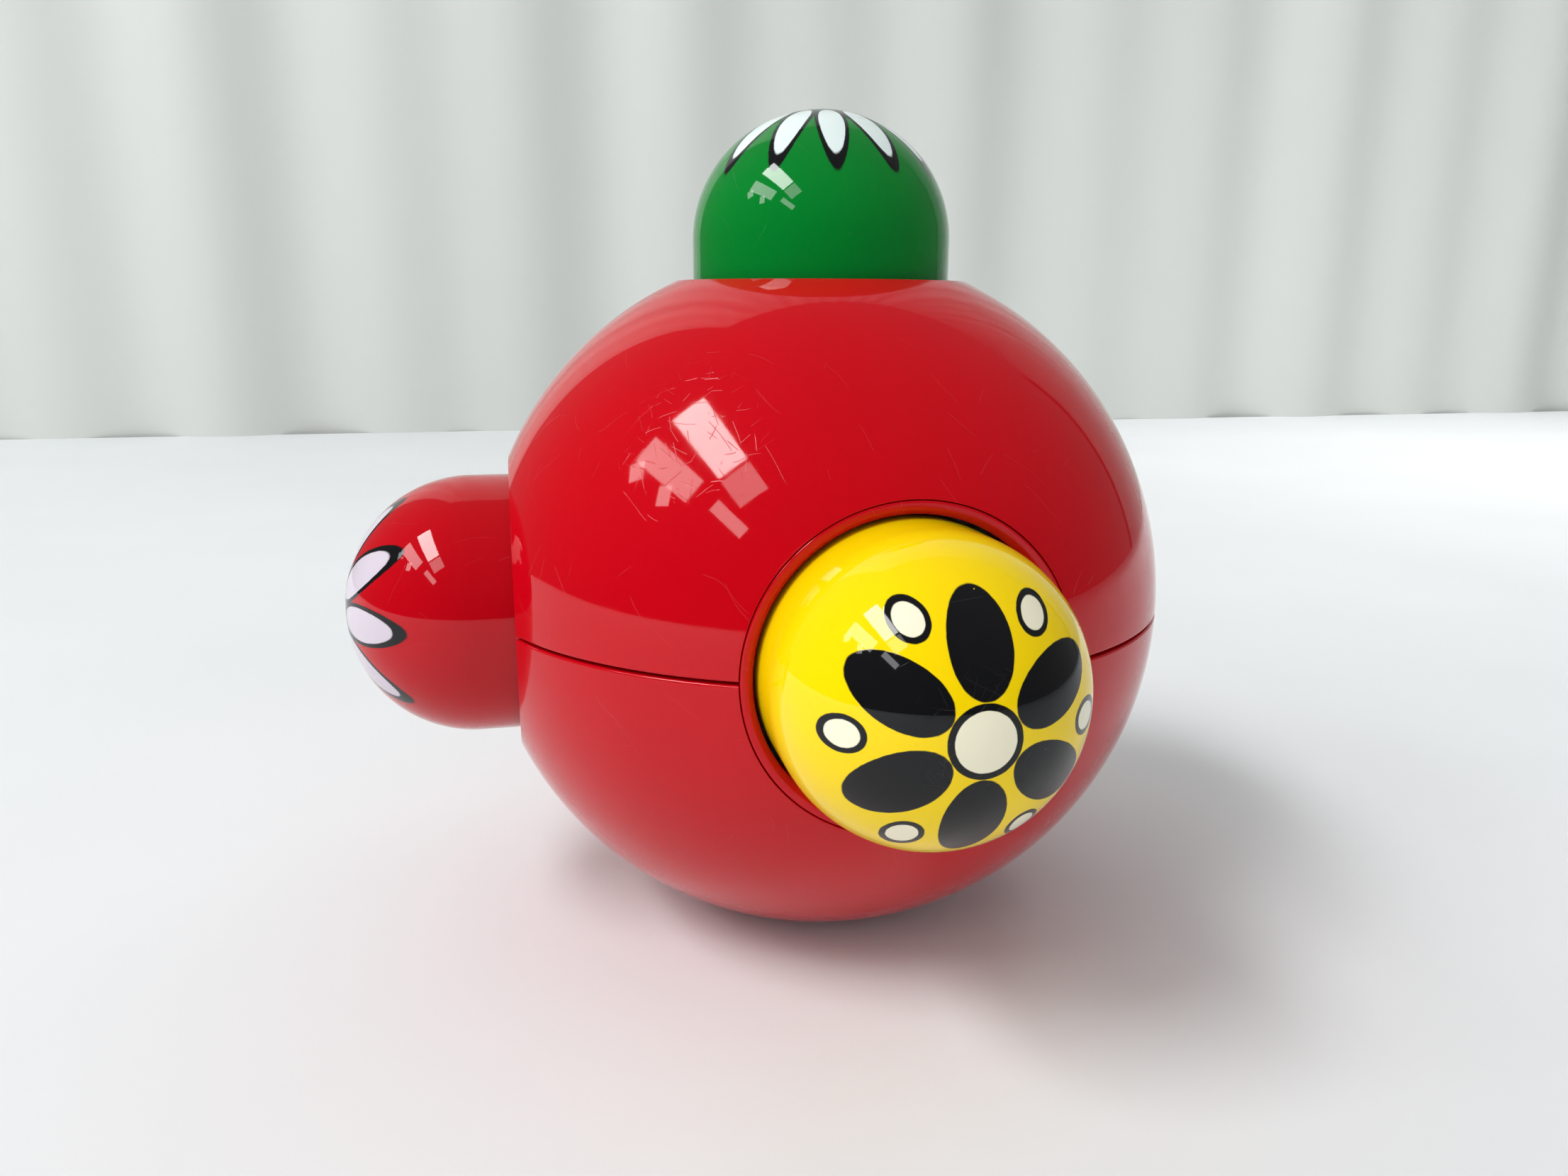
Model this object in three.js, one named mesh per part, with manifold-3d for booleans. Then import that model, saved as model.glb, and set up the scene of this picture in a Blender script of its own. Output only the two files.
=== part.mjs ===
// Rattle ball: a hollow two-part ball with three sprung push-in heads and a chamber of loose pellets.
// Millimetres, +Z up. The origin is the centre of the flat foot under the ball.
// The yellow head faces -Y, the red head faces -X and the green head faces +Z.
import * as THREE from "three";
import { mergeVertices } from "three/addons/utils/BufferGeometryUtils.js";
import Module from "manifold-3d";

// Ball
const BALL_RADIUS = 50;
const SHELL_WALL = 2.5;
const FOOT_RADIUS = 16;
const SEAM_GAP = 0.4;
const SEAM_CHAMFER = 0.3;
const TONGUE_HEIGHT = 2.2;
const TONGUE_WIDTH = 1.1;

// Heads
const HEAD_RADIUS = 18.4;
const HEAD_WALL = 2.2;
const HEAD_SHOULDER = 50.9;
const DOME_HEIGHT = 17.9;
const PUSH_TRAVEL = 8;

// Collars
const COLLAR_LIP = 1.7;
const LIP_ROUND = 0.2;
const MOUTH_WIDTH = 0.75;
const MOUTH_DEPTH = 1;
const SLEEVE_WALL = 2.1;
const FLANGE_WIDTH = 3.4;
const FLANGE_THICK = 2.6;
const OPENING_CHAMFER = 0.3;
const CATCH_WIDTH = 9;
const CATCH_THICK = 2.2;
const CATCH_SLANT = 30;

// Plunger plates
const PLATE_RADIUS = 20;
const PLATE_THICK = 2.2;
const PLATE_RING_WALL = 2.2;
const PLATE_RING_HEIGHT = 5.3;
const VENT_RADIUS = 3;

// Springs
const WIRE = 1.1;
const SPRING_RADIUS = 7.6;
const LIVE_CURLS = 3;
const END_CURLS = 0.75;
const END_CURL_GAP = 0.55;
const SPIGOT_RADIUS = 6.2;
const HUB_SPIGOT = 4;
const PLATE_SPIGOT = 2.5;

// Hub and deck
const SEAT_HEIGHT = 12.5;
const SEAT_RADIUS = 10.3;
const SEAT_THICK = 2;
const ARM_RADIUS = 8;
const ARM_BORE = 5.8;
const HUB_FOOT_RADIUS = 13;
const DECK_THICK = 2;
const DECK_BOSS_HEIGHT = 3;
const SOUND_HOLE_RADIUS = 2.5;
const SOUND_HOLE_CIRCLE = 24;
const SOUND_HOLE_COUNT = 6;
const LEDGE_WIDTH = 2.3;
const LEDGE_THICK = 1.7;

// Pellets
const PELLET_RADIUS = 4;
const PELLET_CIRCLE = 9;
const PELLET_RING_COUNT = 6;

// Clearances
const FIT_GAP = 0.3;
const RUNNING_GAP = 0.5;
const STOP_GAP = 0.4;
const PASSING_GAP = 1;

// Facets
const SHELL_SIDES = 48;
const ROUND_SIDES = 36;
const SMALL_SIDES = 24;

// Fits that follow from the sizes above, as heights along a head's axis from the ball's centre
const INNER_RADIUS = BALL_RADIUS - SHELL_WALL;
const CENTRE_HEIGHT = Math.sqrt(BALL_RADIUS ** 2 - FOOT_RADIUS ** 2);
const BORE_RADIUS = HEAD_RADIUS + RUNNING_GAP;
const NOSE_RADIUS = BORE_RADIUS + COLLAR_LIP;
const OPENING_RADIUS = NOSE_RADIUS + FIT_GAP;
const SLEEVE_RADIUS = BORE_RADIUS + SLEEVE_WALL;
const FLANGE_RADIUS = NOSE_RADIUS + FLANGE_WIDTH;
const LIP_HEIGHT = heightOnSphere(BALL_RADIUS, NOSE_RADIUS);
const FLANGE_EDGE = heightOnSphere(INNER_RADIUS, FLANGE_RADIUS) - STOP_GAP;
const FLANGE_ROOT = heightOnSphere(INNER_RADIUS, NOSE_RADIUS) - STOP_GAP;
const FLANGE_BACK = FLANGE_EDGE - FLANGE_THICK;
const PLATE_BACK = PLATE_RADIUS + PUSH_TRAVEL + PASSING_GAP;
const PLATE_FACE = PLATE_BACK + PLATE_THICK;
const SKIRT_END = PLATE_FACE + FIT_GAP;
const SLEEVE_END = PLATE_FACE + STOP_GAP;
const BORE_WALL_RADIUS = HEAD_RADIUS - HEAD_WALL;
const PLATE_RING_RADIUS = BORE_WALL_RADIUS - FIT_GAP;
const CATCH_INNER = SLEEVE_RADIUS + STOP_GAP;
const CATCH_TOP = FLANGE_BACK - FIT_GAP;
const TONGUE_RADIUS = INNER_RADIUS + TONGUE_WIDTH;
const REBATE_RADIUS = TONGUE_RADIUS + FIT_GAP;
const FLOOR_HEIGHT = SHELL_WALL - CENTRE_HEIGHT;
const DECK_TOP = -(FLANGE_RADIUS + PASSING_GAP);
const DECK_BOTTOM = DECK_TOP - DECK_THICK;
const DECK_RADIUS = heightOnSphere(INNER_RADIUS, DECK_BOTTOM) - STOP_GAP;
const LEDGE_TOP = DECK_BOTTOM - FIT_GAP;
const LEDGE_RADIUS = heightOnSphere(INNER_RADIUS, LEDGE_TOP) - LEDGE_WIDTH;
const HUB_BOTTOM = DECK_TOP + FIT_GAP;
const DECK_BOSS_RADIUS = ARM_BORE - FIT_GAP;

const wasm = await Module();
wasm.setup();

// The height at which a sphere about the ball's centre reaches a given radius from the axis.
function heightOnSphere(sphere, radius) {
  return Math.sqrt(sphere ** 2 - radius ** 2);
}

// Points along a sphere about the ball's centre, from one angle above the seam to another, in degrees.
function arc(sphere, from, to, steps) {
  const points = [];
  for (let i = 0; i <= steps; i += 1) {
    const angle = THREE.MathUtils.degToRad(from + ((to - from) * i) / steps);
    points.push([sphere * Math.cos(angle), sphere * Math.sin(angle)]);
  }
  return points;
}

// The angle above the seam, in degrees, of a height on a sphere about the ball's centre.
function angleAt(sphere, height) {
  return THREE.MathUtils.radToDeg(Math.asin(height / sphere));
}

// A turned geometry about +Z from [radius, height] pairs that run anticlockwise.
function turned(profile, sides) {
  const points = profile.map(([radius, height]) => new THREE.Vector2(radius, height));
  const geometry = new THREE.LatheGeometry(points, sides);
  return geometry.rotateX(Math.PI / 2);
}

// A turned ring, whose profile is closed by its first point.
function turnedRing(profile, sides) {
  return turned([...profile, profile[0]], sides);
}

// A plain round bar about +Z between two heights.
function bar(radius, low, high, sides) {
  const geometry = new THREE.CylinderGeometry(radius, radius, high - low, sides);
  geometry.rotateX(Math.PI / 2);
  return geometry.translate(0, 0, (low + high) / 2);
}

// A geometry as a solid that can be joined and cut.
function solid(geometry) {
  const bare = geometry.clone();
  bare.deleteAttribute("normal");
  bare.deleteAttribute("uv");
  const merged = mergeVertices(bare, 1e-4);
  const corners = merged.index.array;
  const triangles = [];
  for (let i = 0; i < corners.length; i += 3) {
    const [a, b, c] = [corners[i], corners[i + 1], corners[i + 2]];
    if (a !== b && b !== c && c !== a) triangles.push(a, b, c);
  }
  const vertProperties = new Float32Array(merged.getAttribute("position").array);
  const triVerts = new Uint32Array(triangles);
  return new wasm.Manifold(new wasm.Mesh({ numProp: 3, vertProperties, triVerts }));
}

// A joined or cut solid as a geometry again.
function geometryOf(body) {
  const made = body.getMesh();
  const positions = new Float32Array(made.numVert * 3);
  for (let i = 0; i < made.numVert; i += 1) {
    for (let k = 0; k < 3; k += 1) positions[i * 3 + k] = made.vertProperties[i * made.numProp + k];
  }
  const geometry = new THREE.BufferGeometry();
  geometry.setAttribute("position", new THREE.BufferAttribute(positions, 3));
  geometry.setIndex(Array.from(made.triVerts));
  return geometry;
}

// The three ways out of the ball: each turns +Z onto a head's axis.
const WAYS = {
  top: new THREE.Matrix4(),
  front: new THREE.Matrix4().makeRotationX(Math.PI / 2),
  side: new THREE.Matrix4().makeRotationY(-Math.PI / 2),
};

// Where each collar's catches stand round its axis, so that none crosses the seam.
const CATCH_ANGLES = {
  top: [0, 90, 180, 270],
  front: [CATCH_SLANT, 180 - CATCH_SLANT, 180 + CATCH_SLANT, 360 - CATCH_SLANT],
  side: [90 - CATCH_SLANT, 90 + CATCH_SLANT, 270 - CATCH_SLANT, 270 + CATCH_SLANT],
};

const gloss = (colour) => new THREE.MeshStandardMaterial({ color: colour, roughness: 0.25 });
const COATS = {
  red: gloss(0xcd0814),
  green: gloss(0x008537),
  yellow: gloss(0xffd700),
  pale: gloss(0xe9e4d6),
  steel: new THREE.MeshStandardMaterial({ color: 0xb8bcc0, roughness: 0.35, metalness: 1 }),
};

const ball = new THREE.Group();
ball.name = "rattle_ball";

// Hangs a named piece on the ball, lifting it from the ball's centre to its place above the foot.
function place(name, geometry, coat, way = "top") {
  const mesh = new THREE.Mesh(geometry, coat);
  mesh.name = name;
  mesh.applyMatrix4(WAYS[way]);
  mesh.position.z += CENTRE_HEIGHT;
  ball.add(mesh);
}

// Cuts one opening for a collar through a shell.
function openFor(way, body) {
  const rim = heightOnSphere(BALL_RADIUS, OPENING_RADIUS + OPENING_CHAMFER);
  const tool = turned(
    [
      [0, FLANGE_BACK],
      [OPENING_RADIUS, FLANGE_BACK],
      [OPENING_RADIUS, rim - OPENING_CHAMFER / 2],
      [OPENING_RADIUS + OPENING_CHAMFER, rim + OPENING_CHAMFER / 4],
      [OPENING_RADIUS + OPENING_CHAMFER, BALL_RADIUS + HEAD_RADIUS],
      [0, BALL_RADIUS + HEAD_RADIUS],
    ],
    ROUND_SIDES,
  );
  return body.subtract(solid(tool.applyMatrix4(WAYS[way])));
}

// The catches in the shells that hold a collar's flange up against the wall.
const wallMiddle = solid(new THREE.SphereGeometry(INNER_RADIUS + SHELL_WALL / 2, SHELL_SIDES, SHELL_SIDES / 2));
function catchesFor(way, upper) {
  const found = [];
  for (const degrees of CATCH_ANGLES[way]) {
    const box = new THREE.BoxGeometry(BALL_RADIUS - CATCH_INNER, CATCH_WIDTH, CATCH_THICK);
    box.translate((BALL_RADIUS + CATCH_INNER) / 2, 0, CATCH_TOP - CATCH_THICK / 2);
    box.rotateZ(THREE.MathUtils.degToRad(degrees));
    box.applyMatrix4(WAYS[way]);
    box.computeBoundingBox();
    if (box.boundingBox.max.z > 0 === upper) found.push(solid(box).intersect(wallMiddle));
  }
  return found;
}

// Upper shell: a bowl turned upside down, with a rebate for the tongue and the round hole for the top collar
const holeEdge = OPENING_RADIUS + OPENING_CHAMFER;
const upperLow = SEAM_GAP / 2;
const upperProfile = [
  [REBATE_RADIUS, upperLow],
  [heightOnSphere(BALL_RADIUS, upperLow) - SEAM_CHAMFER, upperLow],
  ...arc(
    BALL_RADIUS,
    angleAt(BALL_RADIUS, upperLow + SEAM_CHAMFER),
    angleAt(BALL_RADIUS, heightOnSphere(BALL_RADIUS, holeEdge)),
    11,
  ),
  [OPENING_RADIUS, heightOnSphere(BALL_RADIUS, holeEdge) - OPENING_CHAMFER / 2],
  ...arc(
    INNER_RADIUS,
    angleAt(INNER_RADIUS, heightOnSphere(INNER_RADIUS, OPENING_RADIUS)),
    angleAt(INNER_RADIUS, TONGUE_HEIGHT + FIT_GAP),
    8,
  ),
  [REBATE_RADIUS, TONGUE_HEIGHT + FIT_GAP],
];
let upperShell = solid(turnedRing(upperProfile, SHELL_SIDES));
for (const way of ["front", "side"]) upperShell = openFor(way, upperShell);
for (const way of ["top", "front", "side"]) {
  for (const part of catchesFor(way, true)) upperShell = upperShell.add(part);
}
place("upper_shell", geometryOf(upperShell), COATS.red);

// Lower shell: the bowl with the flat foot, the tongue along its edge and the ledge that carries the deck
const lowerHigh = -SEAM_GAP / 2;
const lowerProfile = [
  [0, -CENTRE_HEIGHT],
  ...arc(
    BALL_RADIUS,
    angleAt(BALL_RADIUS, -CENTRE_HEIGHT),
    angleAt(BALL_RADIUS, lowerHigh - SEAM_CHAMFER),
    13,
  ),
  [heightOnSphere(BALL_RADIUS, lowerHigh) - SEAM_CHAMFER, lowerHigh],
  [TONGUE_RADIUS, lowerHigh],
  [TONGUE_RADIUS, TONGUE_HEIGHT],
  [INNER_RADIUS, TONGUE_HEIGHT],
  ...arc(INNER_RADIUS, 0, angleAt(INNER_RADIUS, LEDGE_TOP), 6),
  [LEDGE_RADIUS, LEDGE_TOP],
  [LEDGE_RADIUS, LEDGE_TOP - LEDGE_THICK],
  ...arc(
    INNER_RADIUS,
    angleAt(INNER_RADIUS, LEDGE_TOP - LEDGE_THICK - LEDGE_WIDTH / 2),
    angleAt(INNER_RADIUS, FLOOR_HEIGHT),
    5,
  ),
  [0, FLOOR_HEIGHT],
];
let lowerShell = solid(turned(lowerProfile, SHELL_SIDES));
for (const way of ["front", "side"]) {
  lowerShell = openFor(way, lowerShell);
  for (const part of catchesFor(way, false)) lowerShell = lowerShell.add(part);
}
place("lower_shell", geometryOf(lowerShell), COATS.red);

// Collars: a narrow flat lip level with the ball, a rounded mouth, a long sleeve and a flange behind the wall
const collarProfile = [
  [BORE_RADIUS, SLEEVE_END],
  [SLEEVE_RADIUS, SLEEVE_END],
  [SLEEVE_RADIUS, FLANGE_BACK],
  [FLANGE_RADIUS, FLANGE_BACK],
  [FLANGE_RADIUS, FLANGE_EDGE],
  [NOSE_RADIUS, FLANGE_ROOT],
  [NOSE_RADIUS, LIP_HEIGHT - LIP_ROUND],
  [NOSE_RADIUS - LIP_ROUND, LIP_HEIGHT - LIP_ROUND / 4],
  [BORE_RADIUS + MOUTH_WIDTH, LIP_HEIGHT - LIP_ROUND / 2],
  [BORE_RADIUS + MOUTH_WIDTH / 4, LIP_HEIGHT - MOUTH_DEPTH / 2],
  [BORE_RADIUS, LIP_HEIGHT - MOUTH_DEPTH],
];
for (const way of ["top", "front", "side"]) {
  place(way + "_collar", turnedRing(collarProfile, ROUND_SIDES), COATS.red, way);
}

// Heads: a thin dome on a straight skirt, open at the back
const headProfile = [];
const DOME_STEPS = 8;
for (let i = 0; i <= DOME_STEPS; i += 1) {
  const angle = (Math.PI / 2) * (1 - i / DOME_STEPS);
  const radius = i === 0 ? 0 : BORE_WALL_RADIUS * Math.cos(angle);
  headProfile.push([radius, HEAD_SHOULDER + (DOME_HEIGHT - HEAD_WALL) * Math.sin(angle)]);
}
headProfile.push([BORE_WALL_RADIUS, SKIRT_END]);
headProfile.push([HEAD_RADIUS, SKIRT_END]);
for (let i = 0; i <= DOME_STEPS; i += 1) {
  const angle = ((Math.PI / 2) * i) / DOME_STEPS;
  const radius = i === DOME_STEPS ? 0 : HEAD_RADIUS * Math.cos(angle);
  headProfile.push([radius, HEAD_SHOULDER + DOME_HEIGHT * Math.sin(angle)]);
}
const headShape = geometryOf(solid(turned(headProfile, ROUND_SIDES)));
place("green_head", headShape.clone(), COATS.green, "top");
place("yellow_head", headShape.clone(), COATS.yellow, "front");
place("red_head", headShape.clone(), COATS.red, "side");

// Plunger plates: each closes a head's skirt, stops it behind the sleeve and carries the spring's outer end
const plateProfile = [
  [VENT_RADIUS, PLATE_BACK - PLATE_SPIGOT],
  [SPIGOT_RADIUS, PLATE_BACK - PLATE_SPIGOT],
  [SPIGOT_RADIUS, PLATE_BACK],
  [PLATE_RADIUS, PLATE_BACK],
  [PLATE_RADIUS, PLATE_FACE],
  [PLATE_RING_RADIUS, PLATE_FACE],
  [PLATE_RING_RADIUS, PLATE_FACE + PLATE_RING_HEIGHT],
  [PLATE_RING_RADIUS - PLATE_RING_WALL, PLATE_FACE + PLATE_RING_HEIGHT],
  [PLATE_RING_RADIUS - PLATE_RING_WALL, PLATE_FACE],
  [VENT_RADIUS, PLATE_FACE],
];
for (const way of ["top", "front", "side"]) {
  place(way + "_plunger", turnedRing(plateProfile, SMALL_SIDES), COATS.pale, way);
}

// Springs: a round wire wound with close end curls and open live curls
class SpringLine extends THREE.Curve {
  constructor(low, high) {
    super();
    this.low = low;
    this.high = high;
  }
  getPoint(part, target = new THREE.Vector3()) {
    const curls = LIVE_CURLS + 2 * END_CURLS;
    const endRise = END_CURLS * (WIRE + END_CURL_GAP);
    const liveRise = this.high - this.low - 2 * endRise;
    const turn = part * curls;
    let height = this.low;
    height += (Math.min(turn, END_CURLS) / END_CURLS) * endRise;
    height += (THREE.MathUtils.clamp(turn - END_CURLS, 0, LIVE_CURLS) / LIVE_CURLS) * liveRise;
    height += (Math.max(turn - END_CURLS - LIVE_CURLS, 0) / END_CURLS) * endRise;
    const angle = turn * 2 * Math.PI;
    return target.set(SPRING_RADIUS * Math.cos(angle), SPRING_RADIUS * Math.sin(angle), height);
  }
}
const WIRE_SIDES = 5;
const STEPS_PER_CURL = 8;
const springLine = new SpringLine(SEAT_HEIGHT + FIT_GAP + WIRE / 2, PLATE_BACK - FIT_GAP - WIRE / 2);
const wireRound = new THREE.Shape();
for (let i = 0; i < WIRE_SIDES; i += 1) {
  const angle = (i * 2 * Math.PI) / WIRE_SIDES;
  const [x, y] = [(WIRE / 2) * Math.cos(angle), (WIRE / 2) * Math.sin(angle)];
  if (i === 0) wireRound.moveTo(x, y);
  else wireRound.lineTo(x, y);
}
wireRound.closePath();
const springShape = new THREE.ExtrudeGeometry(wireRound, {
  steps: (LIVE_CURLS + 2 * END_CURLS) * STEPS_PER_CURL,
  extrudePath: springLine,
  bevelEnabled: false,
});
for (const way of ["top", "front", "side"]) {
  place(way + "_spring", springShape.clone(), COATS.steel, way);
}

// The least gap of a spring to itself, measured on points of its line that lie at least half a curl apart
const springPoints = springLine.getPoints(450);
const halfCurl = Math.round(450 / (LIVE_CURLS + 2 * END_CURLS) / 2);
let leastGap = Infinity;
for (let i = 0; i < springPoints.length; i += 1) {
  for (let k = i + halfCurl; k < springPoints.length; k += 1) {
    leastGap = Math.min(leastGap, springPoints[i].distanceTo(springPoints[k]) - WIRE);
  }
}
console.log("least gap of a spring to itself, mm: " + leastGap.toFixed(2));

// Spring hub: a hollow post on the deck with three flanged arms, one under each spring
let hub = solid(bar(ARM_RADIUS, HUB_BOTTOM, SEAT_HEIGHT - SEAT_THICK / 2, SMALL_SIDES));
hub = hub.add(solid(bar(HUB_FOOT_RADIUS, HUB_BOTTOM, HUB_BOTTOM + SEAT_THICK, SMALL_SIDES)));
for (const way of ["top", "front", "side"]) {
  const arm = solid(bar(ARM_RADIUS, 0, SEAT_HEIGHT - SEAT_THICK / 2, SMALL_SIDES).applyMatrix4(WAYS[way]));
  const seat = solid(bar(SEAT_RADIUS, SEAT_HEIGHT - SEAT_THICK, SEAT_HEIGHT, SMALL_SIDES).applyMatrix4(WAYS[way]));
  const spigot = solid(
    bar(SPIGOT_RADIUS, SEAT_HEIGHT - SEAT_THICK / 2, SEAT_HEIGHT + HUB_SPIGOT, SMALL_SIDES).applyMatrix4(WAYS[way]),
  );
  hub = hub.add(arm).add(seat).add(spigot);
}
hub = hub.subtract(solid(bar(ARM_BORE, HUB_BOTTOM - 1, -ARM_BORE, SMALL_SIDES)));
place("spring_hub", geometryOf(hub), COATS.pale);

// Deck: the lid of the pellet chamber, with a boss for the hub and a ring of sound holes
let deck = solid(bar(DECK_RADIUS, DECK_BOTTOM, DECK_TOP, SHELL_SIDES));
deck = deck.add(solid(bar(DECK_BOSS_RADIUS, DECK_TOP - DECK_THICK / 2, DECK_TOP + DECK_BOSS_HEIGHT, SMALL_SIDES)));
for (let i = 0; i < SOUND_HOLE_COUNT; i += 1) {
  const angle = (i * 2 * Math.PI) / SOUND_HOLE_COUNT;
  const hole = bar(SOUND_HOLE_RADIUS, DECK_BOTTOM - 1, DECK_TOP + 1, 12);
  hole.translate(SOUND_HOLE_CIRCLE * Math.cos(angle), SOUND_HOLE_CIRCLE * Math.sin(angle), 0);
  deck = deck.subtract(solid(hole));
}
place("rattle_deck", geometryOf(deck), COATS.pale);

// Pellets: one in the middle of the floor and a ring round it
const pelletHeight = FLOOR_HEIGHT + FIT_GAP + PELLET_RADIUS;
for (let i = 0; i <= PELLET_RING_COUNT; i += 1) {
  const angle = (i * 2 * Math.PI) / PELLET_RING_COUNT;
  const reach = i === 0 ? 0 : PELLET_CIRCLE;
  const pellet = new THREE.SphereGeometry(PELLET_RADIUS, 12, 8);
  pellet.translate(reach * Math.cos(angle), reach * Math.sin(angle), pelletHeight);
  place("pellet_" + (i + 1), geometryOf(solid(pellet)), COATS.pale);
}

export default ball;
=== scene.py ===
import math

import bmesh
import bpy
from mathutils import Matrix, Vector


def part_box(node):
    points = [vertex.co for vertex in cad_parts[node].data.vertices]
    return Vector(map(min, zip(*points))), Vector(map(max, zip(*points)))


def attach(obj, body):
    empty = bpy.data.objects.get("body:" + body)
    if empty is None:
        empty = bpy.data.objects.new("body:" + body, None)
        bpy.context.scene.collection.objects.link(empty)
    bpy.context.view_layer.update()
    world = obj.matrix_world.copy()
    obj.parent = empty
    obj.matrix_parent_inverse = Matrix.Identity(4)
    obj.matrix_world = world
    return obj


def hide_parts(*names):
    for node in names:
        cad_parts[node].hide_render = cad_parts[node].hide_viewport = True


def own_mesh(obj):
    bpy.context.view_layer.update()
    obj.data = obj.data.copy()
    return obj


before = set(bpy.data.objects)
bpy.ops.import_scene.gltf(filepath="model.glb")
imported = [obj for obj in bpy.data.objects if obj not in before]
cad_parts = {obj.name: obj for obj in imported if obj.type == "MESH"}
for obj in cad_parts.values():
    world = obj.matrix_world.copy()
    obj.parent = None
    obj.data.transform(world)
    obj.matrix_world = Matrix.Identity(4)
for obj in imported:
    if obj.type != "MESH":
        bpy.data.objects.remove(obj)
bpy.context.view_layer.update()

# Lower shell
# The bottom half of the ball, injection moulded in glossy red ABS. It has the flat foot, half of the
# front and side openings, a tongue along the seam and a ledge inside that carries the deck.
MM = 0.001
BALL_RADIUS = 50.0
SHELL_WALL = 2.5
INNER_RADIUS = BALL_RADIUS - SHELL_WALL
FOOT_RADIUS = 16.0
CENTRE_HEIGHT = math.sqrt(BALL_RADIUS**2 - FOOT_RADIUS**2)
SEAM_GAP = 0.4
SEAM_ROUND = 0.35
TONGUE_HEIGHT = 2.2
TONGUE_WIDTH = 1.1
TONGUE_RADIUS = INNER_RADIUS + TONGUE_WIDTH
OPENING_RADIUS = 20.71
OPENING_ROUND = 0.12
OPENING_STEPS = 8
CORE_RISE = 6.0
CORE_FLARE = 1.0
FLANGE_BACK = 37.99
FIT_GAP = 0.3
STOP_GAP = 0.4
DECK_TOP = -25.0
DECK_THICK = 2.0
DECK_BOTTOM = DECK_TOP - DECK_THICK
LEDGE_TOP = DECK_BOTTOM - FIT_GAP
LEDGE_WIDTH = 2.3
LEDGE_THICK = 1.7
CATCH_INNER = 21.4
CATCH_TOP = FLANGE_BACK - FIT_GAP
CATCH_THICK = 2.2
CATCH_WIDTH = 9.0
SHELL_SIDES = 192
ROUND_SIDES = 96
SMALL_SIDES = 40
ON_AXIS = 1e-6
SHARP_TURN = math.radians(20)
EDGE_SHARE = 0.45
WELD_DISTANCE = 2e-4
CREASE_ANGLE = math.radians(34)
SPHERE_TOLERANCE = 0.02
LEAST_FACING = 0.8
GLOSS_INDEX = 1.39
BUMP_METRES = 0.00001
SHELL_RED = (0.54, 0.001, 0.007, 1.0)


def on_sphere(sphere, distance):
    """How high a sphere about the ball's centre stands at a distance from the axis, or the other way."""
    return math.sqrt(sphere**2 - distance**2)


def arc(sphere, start, end, steps):
    """Points on a sphere about the ball's centre, between two heights, as radius and height pairs."""
    low = math.asin(start / sphere)
    high = math.asin(end / sphere)
    angles = [low + (high - low) * i / steps for i in range(steps + 1)]
    return [(sphere * math.cos(angle), sphere * math.sin(angle)) for angle in angles]


def softened(outline, radius, steps=4):
    """Rounds each sharp corner of a closed outline, as a mould does."""
    rounded = []
    for i, corner in enumerate(outline):
        here = Vector(corner)
        before = Vector(outline[i - 1]) - here
        after = Vector(outline[(i + 1) % len(outline)]) - here
        turn = math.pi - before.angle(after)
        if corner[0] < ON_AXIS or turn < SHARP_TURN:
            rounded.append(corner)
            continue
        shorter = min(before.length * EDGE_SHARE, after.length * EDGE_SHARE)
        reach = min(radius * math.tan(turn / 2), shorter)
        first = here + before.normalized() * reach
        last = here + after.normalized() * reach
        for k in range(steps + 1):
            part = k / steps
            bend = first * (1 - part) ** 2 + here * 2 * part * (1 - part) + last * part**2
            rounded.append((bend.x, bend.y))
    return rounded


def as_object(name, verts, faces):
    """A new object in millimetres from corners and faces."""
    mesh = bpy.data.meshes.new(name)
    mesh.from_pydata(verts, [], faces)
    piece = bpy.data.objects.new(name, mesh)
    bpy.context.collection.objects.link(piece)
    return piece


def turned(name, outline, sides):
    """A turned solid about Z from a closed outline of radius and height pairs, listed anticlockwise."""
    verts = []
    rings = []
    for radius, height in outline:
        if radius < ON_AXIS:
            rings.append([len(verts)] * sides)
            verts.append((0.0, 0.0, height))
            continue
        rings.append(list(range(len(verts), len(verts) + sides)))
        for j in range(sides):
            angle = 2 * math.pi * j / sides
            verts.append((radius * math.cos(angle), radius * math.sin(angle), height))
    faces = []
    for i, ring in enumerate(rings):
        above = rings[(i + 1) % len(rings)]
        for j in range(sides):
            k = (j + 1) % sides
            corners = list(dict.fromkeys((ring[j], ring[k], above[k], above[j])))
            if len(corners) > 2:
                faces.append(corners)
    return as_object(name, verts, faces)


WAYS = {
    "top": Matrix.Identity(4),
    "front": Matrix.Rotation(math.pi / 2, 4, "X"),
    "side": Matrix.Rotation(-math.pi / 2, 4, "Y"),
}


def shaped(body, tool, operation):
    """Cuts a tool from a body, or joins it on, and takes the tool away."""
    change = body.modifiers.new(operation, "BOOLEAN")
    change.operation = operation
    change.solver = "MANIFOLD"
    change.object = tool
    bpy.context.view_layer.update()
    result = bpy.data.meshes.new_from_object(body.evaluated_get(bpy.context.evaluated_depsgraph_get()))
    result.materials.clear()
    body.modifiers.clear()
    body.data = result
    bpy.data.objects.remove(tool, do_unlink=True)


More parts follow.
